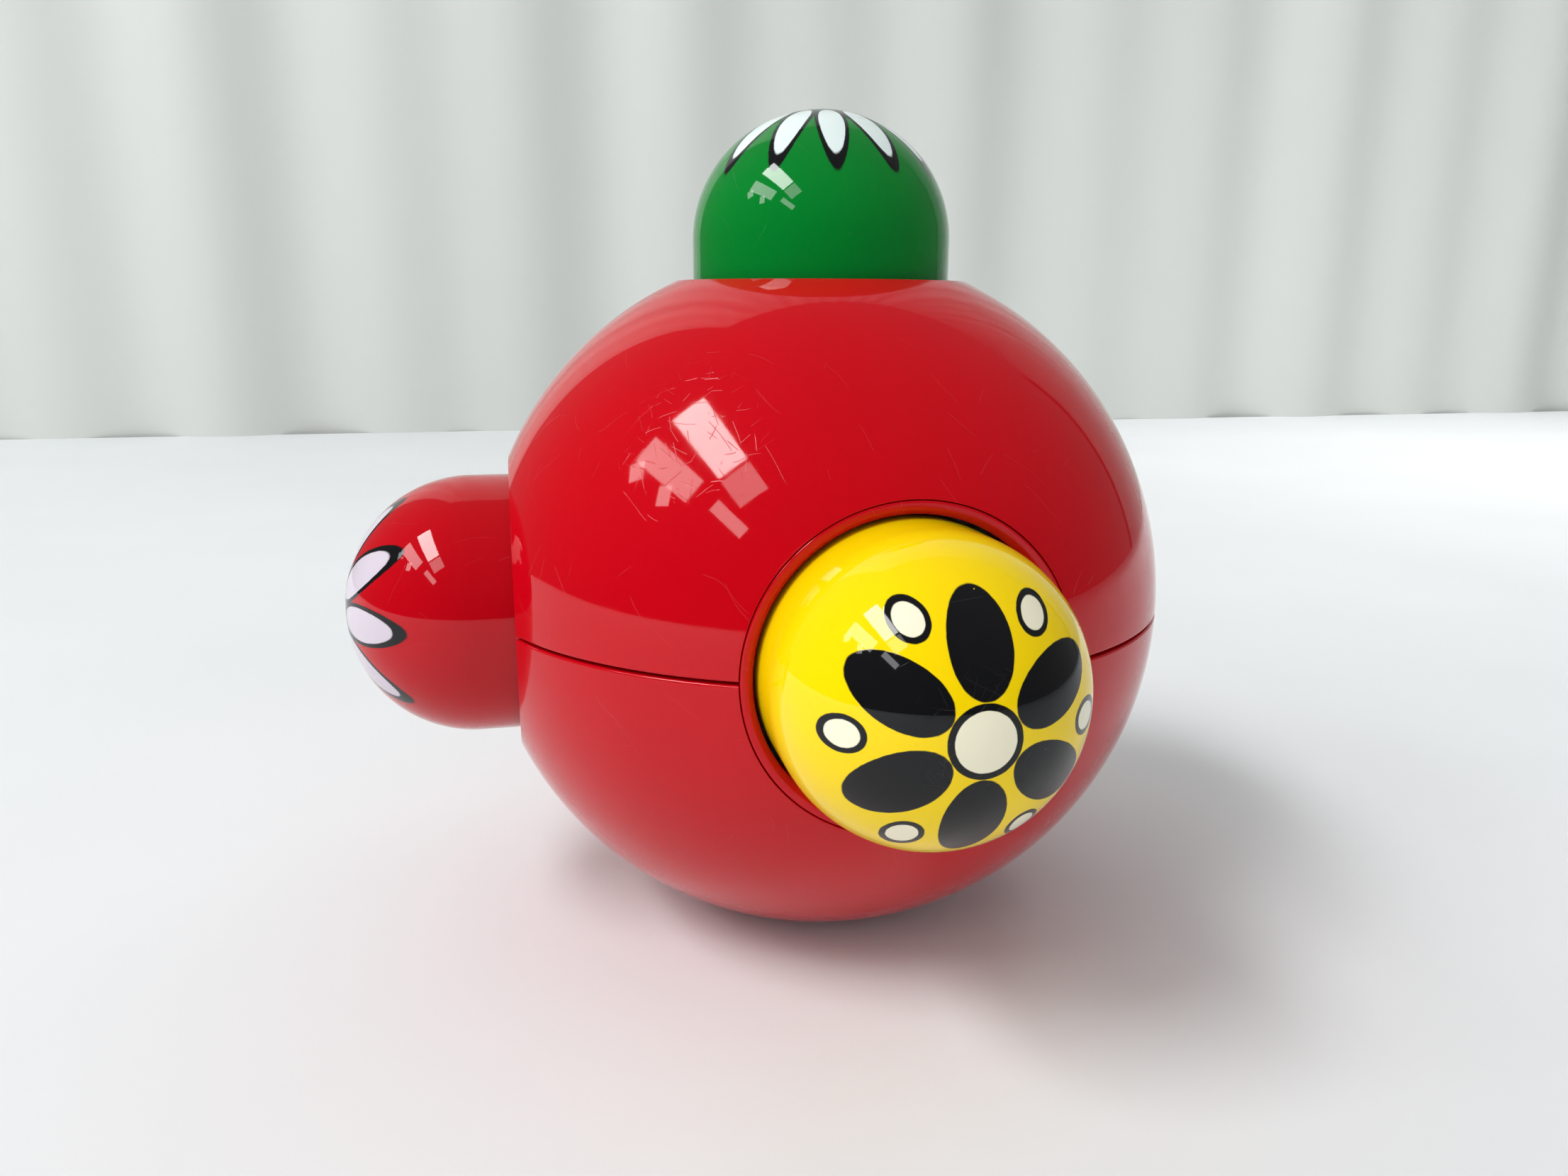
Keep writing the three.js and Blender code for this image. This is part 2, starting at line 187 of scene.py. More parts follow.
def opening_tool(way):
    """The shape that a mould's core leaves for a collar: a straight hole with a rounded edge."""
    crossing = math.radians(20)
    past_crossing = math.radians(40)
    middle = OPENING_RADIUS + OPENING_ROUND
    height = on_sphere(BALL_RADIUS - OPENING_ROUND * math.cos(crossing), middle)
    last = math.atan2(height, middle) - past_crossing
    outline = [(0.0, FLANGE_BACK), (OPENING_RADIUS, FLANGE_BACK)]
    for i in range(OPENING_STEPS + 1):
        angle = math.pi + (last - math.pi) * i / OPENING_STEPS
        outline.append((middle + OPENING_ROUND * math.cos(angle), height + OPENING_ROUND * math.sin(angle)))
    edge, top = outline[-1]
    outline += [(edge + CORE_FLARE, top + CORE_RISE), (0.0, top + CORE_RISE)]
    tool = turned(way + "_opening", outline, SHELL_SIDES)
    tool.data.transform(WAYS[way])
    return tool


def catch(way, degrees):
    """One catch inside a shell that holds a collar's flange up against the wall."""
    corners = []
    for x in (CATCH_INNER, BALL_RADIUS):
        for y in (-CATCH_WIDTH / 2, CATCH_WIDTH / 2):
            for z in (CATCH_TOP - CATCH_THICK, CATCH_TOP):
                corners.append((x, y, z))
    faces = [(0, 1, 3, 2), (4, 6, 7, 5), (0, 4, 5, 1), (2, 3, 7, 6), (0, 2, 6, 4), (1, 5, 7, 3)]
    block = as_object("catch", corners, faces)
    block.data.transform(WAYS[way] @ Matrix.Rotation(math.radians(degrees), 4, "Z"))
    middle = INNER_RADIUS + SHELL_WALL / 2
    near_pole = middle * 0.999
    wall = [(0.0, -middle)] + arc(middle, -near_pole, near_pole, 48) + [(0.0, middle)]
    shaped(block, turned("wall_middle", wall, ROUND_SIDES), "INTERSECT")
    return block


def finished(piece, spheres=()):
    """Smooths a piece, gives faces on the ball's own spheres their true normals, and brings it to metres."""
    mesh = piece.data
    mesh.validate()
    cleaning = bmesh.new()
    cleaning.from_mesh(mesh)
    bmesh.ops.remove_doubles(cleaning, verts=cleaning.verts, dist=WELD_DISTANCE)
    bmesh.ops.recalc_face_normals(cleaning, faces=cleaning.faces)
    cleaning.to_mesh(mesh)
    cleaning.free()
    mesh.shade_smooth()
    mesh.set_sharp_from_angle(angle=CREASE_ANGLE)
    if spheres:
        normals = [Vector(normal.vector) for normal in mesh.corner_normals]
        for face in mesh.polygons:
            for loop in face.loop_indices:
                corner = mesh.vertices[mesh.loops[loop].vertex_index].co
                for sphere, side in spheres:
                    outward = corner.normalized() * side
                    on_surface = abs(corner.length - sphere) < SPHERE_TOLERANCE
                    if on_surface and outward.dot(face.normal) > LEAST_FACING:
                        normals[loop] = outward
        mesh.normals_split_custom_set(normals)
    mesh.transform(Matrix.Scale(MM, 4))
    mesh.update()


def put(tree, kind, inputs, **settings):
    """Adds a shader node, with values or links for its inputs."""
    added = tree.nodes.new(kind)
    for key, value in settings.items():
        setattr(added, key, value)
    for key, value in inputs.items():
        if isinstance(value, bpy.types.NodeSocket):
            tree.links.new(value, added.inputs[key])
        else:
            added.inputs[key].default_value = value
    return added


def reckon(tree, operation, first, second=0.0):
    """One sum with two numbers in a shader."""
    return put(tree, "ShaderNodeMath", {0: first, 1: second}, operation=operation).outputs[0]


def soft_step(tree, value, low, high):
    """A soft rise from 0 to 1 between two values."""
    inputs = {"Value": value, "From Min": low, "From Max": high}
    return put(tree, "ShaderNodeMapRange", inputs, interpolation_type="SMOOTHSTEP").outputs[0]


def vectors(tree, operation, first, second=(0.0, 0.0, 0.0)):
    """One sum with two vectors in a shader."""
    added = put(tree, "ShaderNodeVectorMath", {0: first, 1: second}, operation=operation)
    return added.outputs["Value" if operation in ("DOT_PRODUCT", "DISTANCE") else "Vector"]


def mixed(tree, share, first, second):
    """A colour that goes from the first to the second as the share goes from 0 to 1."""
    return put(tree, "ShaderNodeMix", {0: share, 6: first, 7: second}, data_type="RGBA").outputs[2]


def spread(tree, value, low, high):
    """A value between 0 and 1 brought to another range."""
    return put(tree, "ShaderNodeMapRange", {"Value": value, "To Min": low, "To Max": high}).outputs[0]


def noise(tree, place, scale, detail):
    """A cloudy pattern between 0 and 1 over places in millimetres."""
    return put(tree, "ShaderNodeTexNoise", {"Vector": place, "Scale": scale, "Detail": detail}).outputs[0]


def millimetres(tree):
    """The place on the piece, along its own axes, in millimetres."""
    place = put(tree, "ShaderNodeTexCoord", {}).outputs["Object"]
    return vectors(tree, "MULTIPLY", place, (1000.0, 1000.0, 1000.0))


def new_group(name, inputs, outputs):
    """An empty shader node group with named sockets."""
    tree = bpy.data.node_groups.new(name, "ShaderNodeTree")
    for label, kind, value in inputs:
        socket = tree.interface.new_socket(label, in_out="INPUT", socket_type=kind)
        socket.default_value = value
    for label, kind in outputs:
        tree.interface.new_socket(label, in_out="OUTPUT", socket_type=kind)
    return tree, tree.nodes.new("NodeGroupInput").outputs, tree.nodes.new("NodeGroupOutput").inputs


# Hair scratches. A cell of a scattered pattern holds one short line or none, which lies in the surface at
# a chance angle. Cell, Length and Width are in millimetres, and Cover is the share of cells with a line.
hairlines, given, made = new_group(
    "hairlines",
    [
        ("Cell", "NodeSocketFloat", 6.0),
        ("Length", "NodeSocketFloat", 3.0),
        ("Width", "NodeSocketFloat", 0.08),
        ("Cover", "NodeSocketFloat", 0.5),
    ],
    [("Mask", "NodeSocketFloat")],
)
place = millimetres(hairlines)
surface = put(hairlines, "ShaderNodeTexCoord", {}).outputs["Normal"]
bend = put(hairlines, "ShaderNodeTexNoise", {"Vector": place, "Scale": 0.15, "Detail": 0.0}).outputs["Color"]
place = vectors(hairlines, "ADD", place, vectors(hairlines, "MULTIPLY", bend, (3.0, 3.0, 3.0)))
strokes = 0.0
for shift, larger in ((0.0, 1.0), (37.0, 1.45), (81.0, 0.7)):
    moved = vectors(hairlines, "ADD", place, (shift, -shift, shift))
    cell = reckon(hairlines, "DIVIDE", 1.0 / larger, given["Cell"])
    scatter = put(hairlines, "ShaderNodeTexVoronoi", {"Vector": moved, "Scale": cell}).outputs
    chance = put(hairlines, "ShaderNodeSeparateXYZ", {0: scatter["Color"]}).outputs
    aim = vectors(hairlines, "SUBTRACT", scatter["Color"], (0.5, 0.5, 0.5))
    side = vectors(hairlines, "NORMALIZE", vectors(hairlines, "CROSS_PRODUCT", surface, aim))
    ahead = vectors(hairlines, "CROSS_PRODUCT", surface, side)
    off = vectors(hairlines, "SUBTRACT", moved, scatter["Position"])
    beside = reckon(hairlines, "ABSOLUTE", vectors(hairlines, "DOT_PRODUCT", off, side))
    along = reckon(hairlines, "ABSOLUTE", vectors(hairlines, "DOT_PRODUCT", off, ahead))
    reach = reckon(hairlines, "MULTIPLY", given["Length"], reckon(hairlines, "ADD", chance["X"], 0.25))
    fade = soft_step(hairlines, reckon(hairlines, "SUBTRACT", reach, along), 0.0, 0.5)
    line = reckon(hairlines, "SUBTRACT", given["Width"], beside)
    line = soft_step(hairlines, line, 0.0, given["Width"])
    chosen = reckon(hairlines, "LESS_THAN", chance["Z"], given["Cover"])
    stroke = reckon(hairlines, "MULTIPLY", reckon(hairlines, "MULTIPLY", line, fade), chosen)
    strokes = reckon(hairlines, "MAXIMUM", stroke, strokes)
hairlines.links.new(strokes, made["Mask"])

# Gloss moulding: the finish of every plastic piece. Pigment drifts a little, the mould leaves a faint
# ripple, fine scratches lie all over, and one patch may be rubbed more where the piece has been knocked.
gloss, given, made = new_group(
    "gloss_moulding",
    [
        ("Colour", "NodeSocketColor", (0.8, 0.8, 0.8, 1.0)),
        ("Roughness", "NodeSocketFloat", 0.1),
        ("Scratches", "NodeSocketFloat", 0.4),
        ("Rub centre", "NodeSocketVector", (0.0, 0.0, 0.0)),
        ("Rub radius", "NodeSocketFloat", 10.0),
        ("Rub", "NodeSocketFloat", 0.0),
    ],
    [("Colour", "NodeSocketColor"), ("Roughness", "NodeSocketFloat"), ("Normal", "NodeSocketVector")],
)
place = millimetres(gloss)
away = vectors(gloss, "DISTANCE", place, given["Rub centre"])
away = reckon(gloss, "ADD", away, reckon(gloss, "MULTIPLY", noise(gloss, place, 0.16, 2.0), 9.0))
inside = reckon(gloss, "SUBTRACT", reckon(gloss, "ADD", given["Rub radius"], 4.5), away)
patch = reckon(gloss, "MULTIPLY", soft_step(gloss, inside, -4.0, 4.0), given["Rub"])
fine = put(gloss, "ShaderNodeGroup", {}, node_tree=hairlines)
fine.inputs["Cell"].default_value = 10.0
fine.inputs["Length"].default_value = 3.0
fine.inputs["Width"].default_value = 0.05
fine.inputs["Cover"].default_value = 0.35
knocks = put(gloss, "ShaderNodeGroup", {}, node_tree=hairlines)
knocks.inputs["Cell"].default_value = 2.4
knocks.inputs["Length"].default_value = 2.6
knocks.inputs["Width"].default_value = 0.05
knocks.inputs["Cover"].default_value = 0.42
all_over = reckon(gloss, "MULTIPLY", fine.outputs["Mask"], given["Scratches"])
scores = reckon(gloss, "MAXIMUM", all_over, reckon(gloss, "MULTIPLY", knocks.outputs["Mask"], patch))
haze = reckon(gloss, "MULTIPLY", soft_step(gloss, noise(gloss, place, 0.45, 3.0), 0.35, 0.8), 0.025)
rough = reckon(gloss, "ADD", given["Roughness"], haze)
rough = reckon(gloss, "ADD", rough, reckon(gloss, "MULTIPLY", patch, 0.02))
rough = reckon(gloss, "ADD", rough, reckon(gloss, "MULTIPLY", scores, 0.25))
drift = spread(gloss, noise(gloss, place, 0.035, 2.0), 0.92, 1.06)
tint = put(gloss, "ShaderNodeHueSaturation", {"Color": given["Colour"], "Value": drift}).outputs[0]
SCORED_PLASTIC = (0.85, 0.72, 0.70, 1.0)
tint = mixed(gloss, reckon(gloss, "MULTIPLY", scores, 0.10), tint, SCORED_PLASTIC)
ripple = reckon(gloss, "MULTIPLY", noise(gloss, place, 0.20, 1.0), 0.5)
depth = reckon(gloss, "SUBTRACT", ripple, reckon(gloss, "MULTIPLY", scores, 1.1))
bump = put(gloss, "ShaderNodeBump", {"Strength": 1.0, "Distance": BUMP_METRES, "Height": depth})
gloss.links.new(tint, made["Colour"])
gloss.links.new(rough, made["Roughness"])
gloss.links.new(bump.outputs[0], made["Normal"])


def gloss_plastic(name, colour, roughness, scratches, rub_centre=(0.0, 0.0, 0.0), rub_radius=10.0, rub=0.0):
    """A moulded plastic with the gloss finish. Its finish node is named so that a print can go under it."""
    material = bpy.data.materials.new(name)
    material.use_nodes = True
    tree = material.node_tree
    shader = tree.nodes["Principled BSDF"]
    shader.inputs["IOR"].default_value = GLOSS_INDEX
    finish = put(tree, "ShaderNodeGroup", {}, node_tree=gloss)
    finish.name = "finish"
    finish.inputs["Colour"].default_value = colour
    finish.inputs["Roughness"].default_value = roughness
    finish.inputs["Scratches"].default_value = scratches
    finish.inputs["Rub centre"].default_value = rub_centre
    finish.inputs["Rub radius"].default_value = rub_radius
    finish.inputs["Rub"].default_value = rub
    tree.links.new(finish.outputs["Colour"], shader.inputs["Base Color"])
    tree.links.new(finish.outputs["Roughness"], shader.inputs["Roughness"])
    tree.links.new(finish.outputs["Normal"], shader.inputs["Normal"])
    return material


def fixed(piece, way, material, body, node):
    """Stands a finished piece at the ball's centre, facing a way out, in place of a solid on a body."""
    piece.matrix_world = Matrix.Translation((0.0, 0.0, CENTRE_HEIGHT * MM)) @ WAYS[way]
    piece.data.materials.append(material)
    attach(piece, body)
    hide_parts(node)


lower_outline = [(0.0, -CENTRE_HEIGHT)] + arc(BALL_RADIUS, -CENTRE_HEIGHT, -SEAM_GAP / 2, 52)
lower_outline += [(TONGUE_RADIUS, -SEAM_GAP / 2), (TONGUE_RADIUS, TONGUE_HEIGHT)]
lower_outline += [(INNER_RADIUS, TONGUE_HEIGHT)]
lower_outline += arc(INNER_RADIUS, 0.0, LEDGE_TOP, 20)
ledge_radius = on_sphere(INNER_RADIUS, LEDGE_TOP) - LEDGE_WIDTH
lower_outline += [(ledge_radius, LEDGE_TOP), (ledge_radius, LEDGE_TOP - LEDGE_THICK)]
lower_outline += arc(INNER_RADIUS, LEDGE_TOP - LEDGE_THICK - LEDGE_WIDTH / 2, SHELL_WALL - CENTRE_HEIGHT, 16)
lower_outline += [(0.0, SHELL_WALL - CENTRE_HEIGHT)]
lower_shell = turned("lower_shell_skin", softened(lower_outline, SEAM_ROUND), SHELL_SIDES)
for way, angles in (("front", (210, 330)), ("side", (120, 240))):
    shaped(lower_shell, opening_tool(way), "DIFFERENCE")
    for degrees in angles:
        shaped(lower_shell, catch(way, degrees), "UNION")
finished(lower_shell, ((BALL_RADIUS, 1), (INNER_RADIUS, -1)))
shell_red = gloss_plastic("shell_red", SHELL_RED, 0.03, 0.35, (-23.5, -33.0, 28.0), 7.5, 1.0)
fixed(lower_shell, "top", shell_red, "ball", "lower_shell")

# Pellets
# Seven loose beads on the floor of the lower shell that make the sound. Each is moulded in natural
# polypropylene in two halves of a mould, which leaves a fine ridge round it.
PELLET_RADIUS = 4.0
PELLET_COUNT = 7
PELLET_NATURAL = (0.78, 0.72, 0.60, 1.0)
RIDGE = 0.07
BEAD_STEPS = 24
bead_outline = [(0.0, -PELLET_RADIUS)]
for i in range(1, BEAD_STEPS):
    angle = math.radians(-90 + 180 * i / BEAD_STEPS)
    reach = PELLET_RADIUS + (RIDGE if i == BEAD_STEPS // 2 else 0.0)
    bead_outline.append((reach * math.cos(angle), reach * math.sin(angle)))
bead_outline.append((0.0, PELLET_RADIUS))
bead_plastic = gloss_plastic("bead_natural", PELLET_NATURAL, 0.28, 0.8)
for number in range(1, PELLET_COUNT + 1):
    bead = turned(f"bead_{number}", bead_outline, SMALL_SIDES)
    finished(bead)
    bead.data.materials.append(bead_plastic)
    low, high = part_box(f"pellet_{number}")
    bead.location = (low + high) / 2
    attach(bead, f"loose_{number}")
    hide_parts(f"pellet_{number}")

# Deck
# A pale moulded disc that shuts the pellets in. It lies on the ledge, lets the sound out through six
# chamfered holes, and has a boss in the middle for the hub.
DECK_RADIUS = on_sphere(INNER_RADIUS, DECK_BOTTOM) - STOP_GAP
BOSS_RADIUS = 5.5
BOSS_HEIGHT = 3.0
SOUND_HOLE = 2.5
HOLE_CIRCLE = 24.0
HOLE_COUNT = 6
HOLE_CHAMFER = 0.3
CUT_PAST = 1.0
HOLE_FLARE = HOLE_CHAMFER + CUT_PAST
MOULD_ROUND = 0.4
DECK_SIDES = 120
INNER_PALE = (0.76, 0.72, 0.62, 1.0)
deck_outline = [
    (0.0, DECK_BOTTOM),
    (DECK_RADIUS, DECK_BOTTOM),
    (DECK_RADIUS, DECK_TOP),
    (BOSS_RADIUS, DECK_TOP),
    (BOSS_RADIUS, DECK_TOP + BOSS_HEIGHT),
    (0.0, DECK_TOP + BOSS_HEIGHT),
]
hole_outline = [
    (0.0, DECK_BOTTOM - CUT_PAST),
    (SOUND_HOLE + HOLE_FLARE, DECK_BOTTOM - CUT_PAST),
    (SOUND_HOLE, DECK_BOTTOM + HOLE_CHAMFER),
    (SOUND_HOLE, DECK_TOP - HOLE_CHAMFER),
    (SOUND_HOLE + HOLE_FLARE, DECK_TOP + CUT_PAST),
    (0.0, DECK_TOP + CUT_PAST),
]
deck = turned("deck_disc", softened(deck_outline, MOULD_ROUND), DECK_SIDES)
for i in range(HOLE_COUNT):
    drill = turned("sound_hole", hole_outline, SMALL_SIDES)
    round_deck = Matrix.Rotation(math.radians(360 / HOLE_COUNT * i), 4, "Z")
    drill.data.transform(round_deck @ Matrix.Translation((HOLE_CIRCLE, 0.0, 0.0)))
    shaped(deck, drill, "DIFFERENCE")
finished(deck)
inner_pale = gloss_plastic("inner_pale", INNER_PALE, 0.34, 0.6)
fixed(deck, "top", inner_pale, "ball", "rattle_deck")

# Spring hub
# A hollow post that presses onto the deck's boss, with three arms. Each arm ends in a flange and a
# spigot that seat one spring. It is moulded in the same pale plastic as the deck.
SEAT_HEIGHT = 12.5
SEAT_RADIUS = 10.3
SEAT_THICK = 2.0
ARM_RADIUS = 8.0
ARM_BORE = 5.8
SPIGOT_RADIUS = 6.2
SPIGOT_HEIGHT = 4.0
HUB_FOOT_RADIUS = 13.0
HUB_BOTTOM = DECK_TOP + FIT_GAP
arm_end = [
    (ARM_RADIUS, SEAT_HEIGHT - SEAT_THICK),
    (SEAT_RADIUS, SEAT_HEIGHT - SEAT_THICK),
    (SEAT_RADIUS, SEAT_HEIGHT),
    (SPIGOT_RADIUS, SEAT_HEIGHT),
    (SPIGOT_RADIUS, SEAT_HEIGHT + SPIGOT_HEIGHT),
    (0.0, SEAT_HEIGHT + SPIGOT_HEIGHT),
]
post_outline = [(0.0, HUB_BOTTOM), (HUB_FOOT_RADIUS, HUB_BOTTOM), (HUB_FOOT_RADIUS, HUB_BOTTOM + SEAT_THICK)]
post_outline += [(ARM_RADIUS, HUB_BOTTOM + SEAT_THICK)] + arm_end
arm_outline = [(0.0, 0.0), (ARM_RADIUS, 0.0)] + arm_end
hub = turned("hub_post", softened(post_outline, MOULD_ROUND), ROUND_SIDES)
for way in ("front", "side"):
    arm = turned(way + "_arm", softened(arm_outline, MOULD_ROUND), ROUND_SIDES)
    arm.data.transform(WAYS[way])
    shaped(hub, arm, "UNION")
bore_outline = [(0.0, HUB_BOTTOM - CUT_PAST), (ARM_BORE, HUB_BOTTOM - CUT_PAST)]
bore_outline += [(ARM_BORE, -ARM_BORE), (0.0, -ARM_BORE)]
shaped(hub, turned("hub_bore", bore_outline, ROUND_SIDES), "DIFFERENCE")
finished(hub)
fixed(hub, "top", inner_pale, "ball", "spring_hub")

# Springs
# Three compression springs wound from bright drawn steel wire, with close curls at both ends. Each sits
# over a hub spigot and bears on a plunger plate.
WIRE = 1.1
SPRING_RADIUS = 7.6
LIVE_CURLS = 3.0
END_CURLS = 0.75
END_CURL_GAP = 0.55
END_RISE = END_CURLS * (WIRE + END_CURL_GAP)
CUT_END_SHARE = 0.7
CUT_END_LENGTH = 0.12
SPRING_LOW = SEAT_HEIGHT + FIT_GAP + WIRE / 2
PLATE_BACK = 29.0
SPRING_HIGH = PLATE_BACK - FIT_GAP - WIRE / 2
WIRE_SIDES = 12
STEPS_PER_CURL = 40


def wire_middle(part):
    """A point on the middle of the wire, from 0 at the hub to 1 at the plunger plate."""
    curl = part * (LIVE_CURLS + 2 * END_CURLS)
    live_rise = SPRING_HIGH - SPRING_LOW - 2 * END_RISE
    height = SPRING_LOW + min(curl, END_CURLS) / END_CURLS * END_RISE
    height += min(max(curl - END_CURLS, 0.0), LIVE_CURLS) / LIVE_CURLS * live_rise
    height += max(curl - END_CURLS - LIVE_CURLS, 0.0) / END_CURLS * END_RISE
    angle = curl * 2 * math.pi
    return Vector((SPRING_RADIUS * math.cos(angle), SPRING_RADIUS * math.sin(angle), height))


def wound_spring(name):
    """The wire as a tube along its coil, with its cut ends slightly rounded."""
    steps = int(STEPS_PER_CURL * (LIVE_CURLS + 2 * END_CURLS))
    verts = []
    for i in range(-1, steps + 2):
        inner = min(max(i, 0), steps)
        middle = wire_middle(inner / steps)
        ahead = wire_middle(min(inner + 0.5, steps) / steps) - wire_middle(max(inner - 0.5, 0) / steps)
        ahead.normalize()
        outward = Vector((middle.x, middle.y, 0.0)).normalized()
        upward = ahead.cross(outward)
        thickness = WIRE / 2 if inner == i else WIRE / 2 * CUT_END_SHARE
        middle += ahead * (i - inner) * CUT_END_LENGTH
        for k in range(WIRE_SIDES):
            angle = 2 * math.pi * k / WIRE_SIDES
            verts.append(middle + (outward * math.cos(angle) + upward * math.sin(angle)) * thickness)
    faces = []
    for i in range(steps + 2):
        for k in range(WIRE_SIDES):
            after = (k + 1) % WIRE_SIDES
            start = i * WIRE_SIDES
            faces.append((start + k, start + after, start + WIRE_SIDES + after, start + WIRE_SIDES + k))
    faces.append(tuple(range(WIRE_SIDES)))
    faces.append(tuple(range((steps + 2) * WIRE_SIDES, (steps + 3) * WIRE_SIDES)))
    return as_object(name, [tuple(vert) for vert in verts], faces)


spring_steel = bpy.data.materials.new("drawn_steel")
spring_steel.use_nodes = True
tree = spring_steel.node_tree
place = millimetres(tree)
drawn = noise(tree, place, 2.2, 3.0)
bloom = soft_step(tree, noise(tree, place, 0.25, 2.0), 0.45, 0.75)
shade = mixed(tree, bloom, (0.60, 0.61, 0.62, 1.0), (0.42, 0.40, 0.38, 1.0))
shine = reckon(tree, "ADD", reckon(tree, "MULTIPLY", drawn, 0.14), reckon(tree, "MULTIPLY", bloom, 0.12))
lines = put(tree, "ShaderNodeBump", {"Strength": 0.4, "Distance": 0.00003, "Height": drawn})
shader = tree.nodes["Principled BSDF"]
shader.inputs["Metallic"].default_value = 1.0
tree.links.new(shade, shader.inputs["Base Color"])
tree.links.new(reckon(tree, "ADD", shine, 0.18), shader.inputs["Roughness"])
tree.links.new(lines.outputs[0], shader.inputs["Normal"])
for way, joint in (("top", "green_push"), ("front", "yellow_push"), ("side", "red_push")):
    spring = wound_spring(way + "_coil")
    finished(spring)
    fixed(spring, way, spring_steel, "ball", way + "_spring")
    outward = WAYS[way].to_3x3() @ Vector((0.0, 0.0, 1.0))
    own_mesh(spring)

# Plunger plates
# Each closes a head's skirt from behind, with a ring that presses inside it. Its rim stops behind the
# collar's sleeve, so the head can't leave the ball, and its spigot holds the spring's outer end.
PLATE_RADIUS = 20.0
PLATE_THICK = 2.2
PLATE_FACE = PLATE_BACK + PLATE_THICK
PLATE_RING = 15.9
PLATE_RING_WALL = 2.2
PLATE_RING_HEIGHT = 5.3
PLATE_SPIGOT = 2.5
VENT_RADIUS = 3.0
plate_outline = [
    (VENT_RADIUS, PLATE_BACK - PLATE_SPIGOT),
    (SPIGOT_RADIUS, PLATE_BACK - PLATE_SPIGOT),
    (SPIGOT_RADIUS, PLATE_BACK),
    (PLATE_RADIUS, PLATE_BACK),
    (PLATE_RADIUS, PLATE_FACE),
    (PLATE_RING, PLATE_FACE),
    (PLATE_RING, PLATE_FACE + PLATE_RING_HEIGHT),
    (PLATE_RING - PLATE_RING_WALL, PLATE_FACE + PLATE_RING_HEIGHT),
    (PLATE_RING - PLATE_RING_WALL, PLATE_FACE),
    (VENT_RADIUS, PLATE_FACE),
]
for way, body in (("top", "green_slider"), ("front", "yellow_slider"), ("side", "red_slider")):
    plate = turned(way + "_plate", softened(plate_outline, MOULD_ROUND), ROUND_SIDES)
    finished(plate)
    fixed(plate, way, inner_pale, body, way + "_plunger")

# Heads
# Three hollow domes on straight skirts, moulded in green, yellow and red ABS. The ornaments on top are
# pad printed in ink, and a spring behind the plunger plate pushes each head out through its collar.
HEAD_RADIUS = 18.4
HEAD_WALL = 2.2
HEAD_SHOULDER = 50.9
DOME_HEIGHT = 17.9
SKIRT_END = 31.5
SKIRT_EDGE = 1.0
HEAD_ROUND = 0.35
DOME_STEPS = 44
INK_SOFTNESS = 0.06
HEAD_GREEN = (0.001, 0.195, 0.022, 1.0)
HEAD_YELLOW = (0.97, 0.68, 0.001, 1.0)
HEAD_RED = (0.50, 0.001, 0.007, 1.0)
INK_BLACK = (0.006, 0.006, 0.007, 1.0)
INK_CREAM = (0.92, 0.86, 0.66, 1.0)
INK_WHITE = (0.76, 0.86, 0.84, 1.0)
INK_LILAC = (0.66, 0.58, 0.66, 1.0)


def dome(radius, height, steps):
    """The quarter of an ellipse from a head's shoulder up to its tip."""
    angles = [math.pi / 2 * i / steps for i in range(steps)]
    points = [(radius * math.cos(angle), HEAD_SHOULDER + height * math.sin(angle)) for angle in angles]
    return points + [(0.0, HEAD_SHOULDER + height)]


# A ring of ovals round the tip of a dome. Depth is how far inside the nearest oval a place lies. All of
# it is in millimetres, apart from the number of ovals and the angle by which the ring is turned.
ovals, given, made = new_group(
    "ring_of_ovals",
    [
        ("Count", "NodeSocketFloat", 6.0),
        ("Turn", "NodeSocketFloat", 0.0),
        ("Reach", "NodeSocketFloat", 9.0),
        ("Half length", "NodeSocketFloat", 4.0),
        ("Half width", "NodeSocketFloat", 3.0),
    ],
    [("Depth", "NodeSocketFloat")],
)
axes = put(ovals, "ShaderNodeSeparateXYZ", {0: millimetres(ovals)}).outputs
squares = [reckon(ovals, "MULTIPLY", axes[axis], axes[axis]) for axis in ("X", "Y")]
from_axis = reckon(ovals, "SQRT", reckon(ovals, "ADD", squares[0], squares[1]))
bearing = reckon(ovals, "SUBTRACT", reckon(ovals, "ARCTAN2", axes["Y"], axes["X"]), given["Turn"])
half_share = reckon(ovals, "DIVIDE", math.pi, given["Count"])
wrap_inputs = {0: bearing, 1: half_share, 2: reckon(ovals, "MULTIPLY", half_share, -1.0)}
bearing = put(ovals, "ShaderNodeMath", wrap_inputs, operation="WRAP").outputs[0]
along = reckon(ovals, "MULTIPLY", from_axis, reckon(ovals, "COSINE", bearing))
along = reckon(ovals, "DIVIDE", reckon(ovals, "SUBTRACT", along, given["Reach"]), given["Half length"])
across = reckon(ovals, "MULTIPLY", from_axis, reckon(ovals, "SINE", bearing))
across = reckon(ovals, "DIVIDE", across, given["Half width"])
squares = [reckon(ovals, "MULTIPLY", value, value) for value in (along, across)]
out = reckon(ovals, "SQRT", reckon(ovals, "ADD", squares[0], squares[1]))
depth = reckon(ovals, "MULTIPLY", reckon(ovals, "SUBTRACT", 1.0, out), given["Half width"])
ovals.links.new(depth, made["Depth"])


def oval_ring(tree, count, turn, reach, half_length, half_width):
    """Places a ring of ovals in a head's material."""
    ring = put(tree, "ShaderNodeGroup", {}, node_tree=ovals)
    ring.inputs["Count"].default_value = count
    ring.inputs["Turn"].default_value = math.radians(turn)
    ring.inputs["Reach"].default_value = reach
    ring.inputs["Half length"].default_value = half_length
    ring.inputs["Half width"].default_value = half_width
    return ring.outputs["Depth"]


